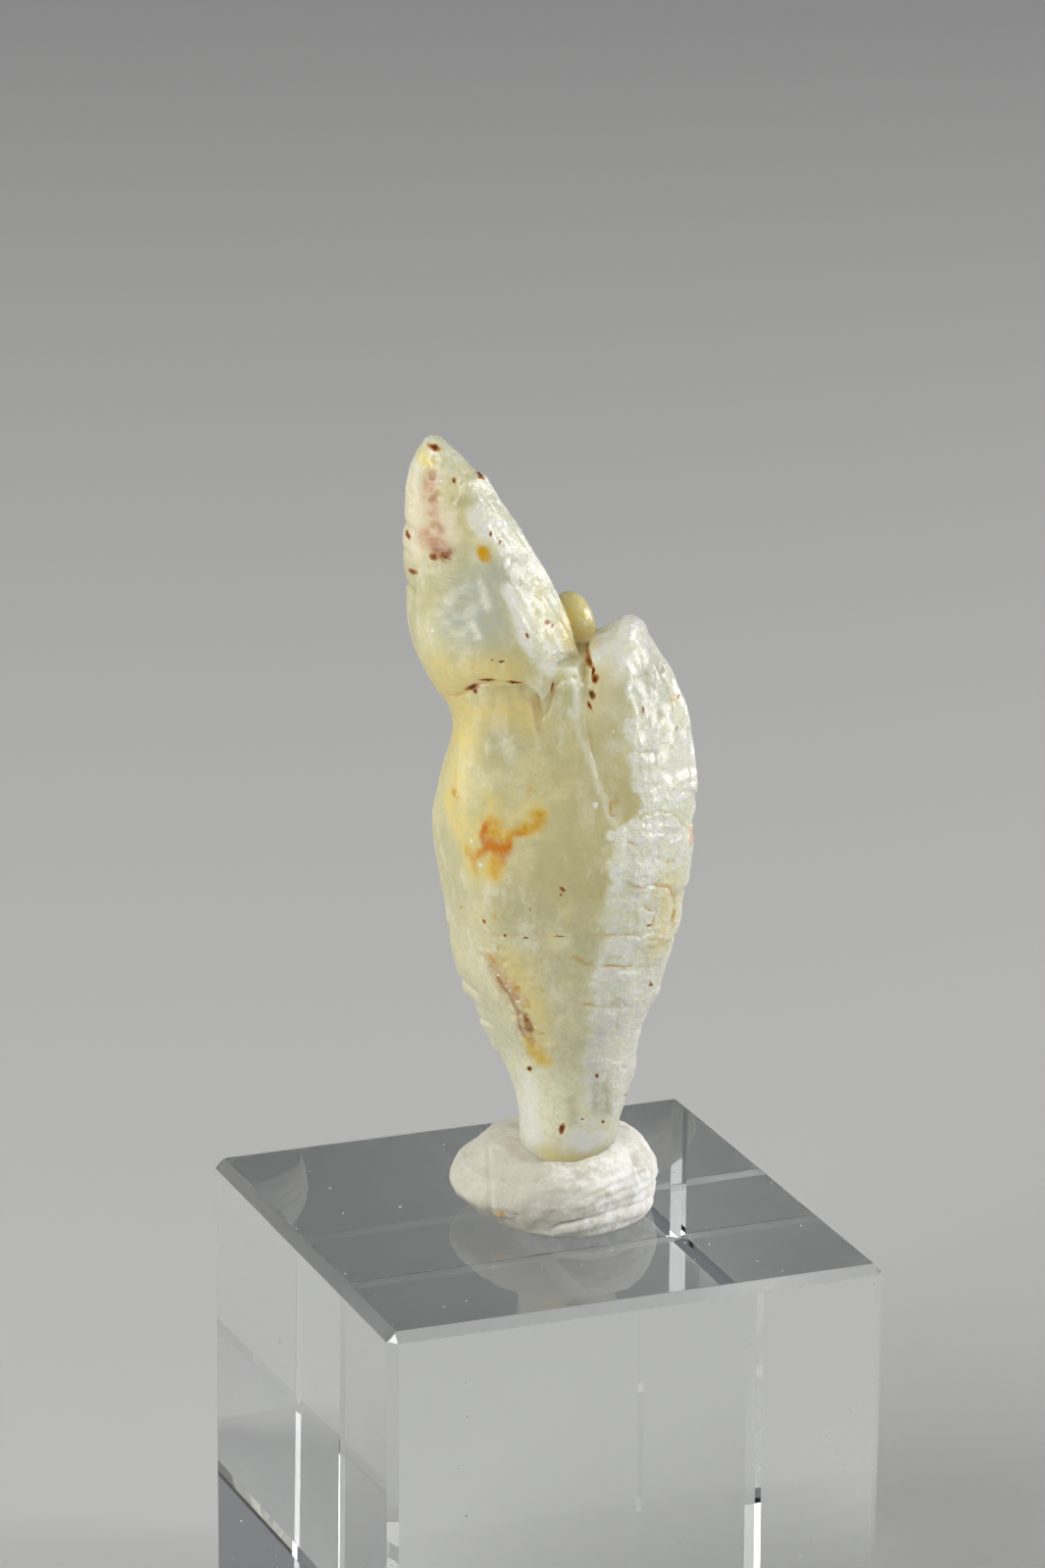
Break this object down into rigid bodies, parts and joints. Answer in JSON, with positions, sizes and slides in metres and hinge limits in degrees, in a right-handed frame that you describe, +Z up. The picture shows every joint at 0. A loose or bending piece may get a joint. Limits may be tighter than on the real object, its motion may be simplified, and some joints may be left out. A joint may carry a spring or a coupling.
{
  "type": "mounted sapphire crystal specimen",
  "caption": "Pale intergrown sapphire crystal, waisted at its foot and pointed at its leaning cap, held upright in putty on a clear bevelled glass block.",
  "frame": {"origin": "middle of the glass block's underside", "axes": "+Z up, out of the block's top and along the crystal; +X and +Y along the block's sides. The crystal's broad face looks about 22 degrees from -Y towards -X"},
  "size_m": [0.02, 0.02, 0.0509],
  "materials": {
    "sapphire": "milky pale straw sapphire, softly etched faces with a wet gloss, rust-stained pits and seams",
    "putty": "matt off-white mounting putty, grainy, with finger ridges",
    "block_glass": "polished clear glass with bevelled edges, lightly scratched and dusty"
  },
  "bodies": {
    "root": {"sapphire_crystal": "sapphire", "mineral_putty": "putty", "glass_block": "block_glass"}
  },
  "joints": []
}
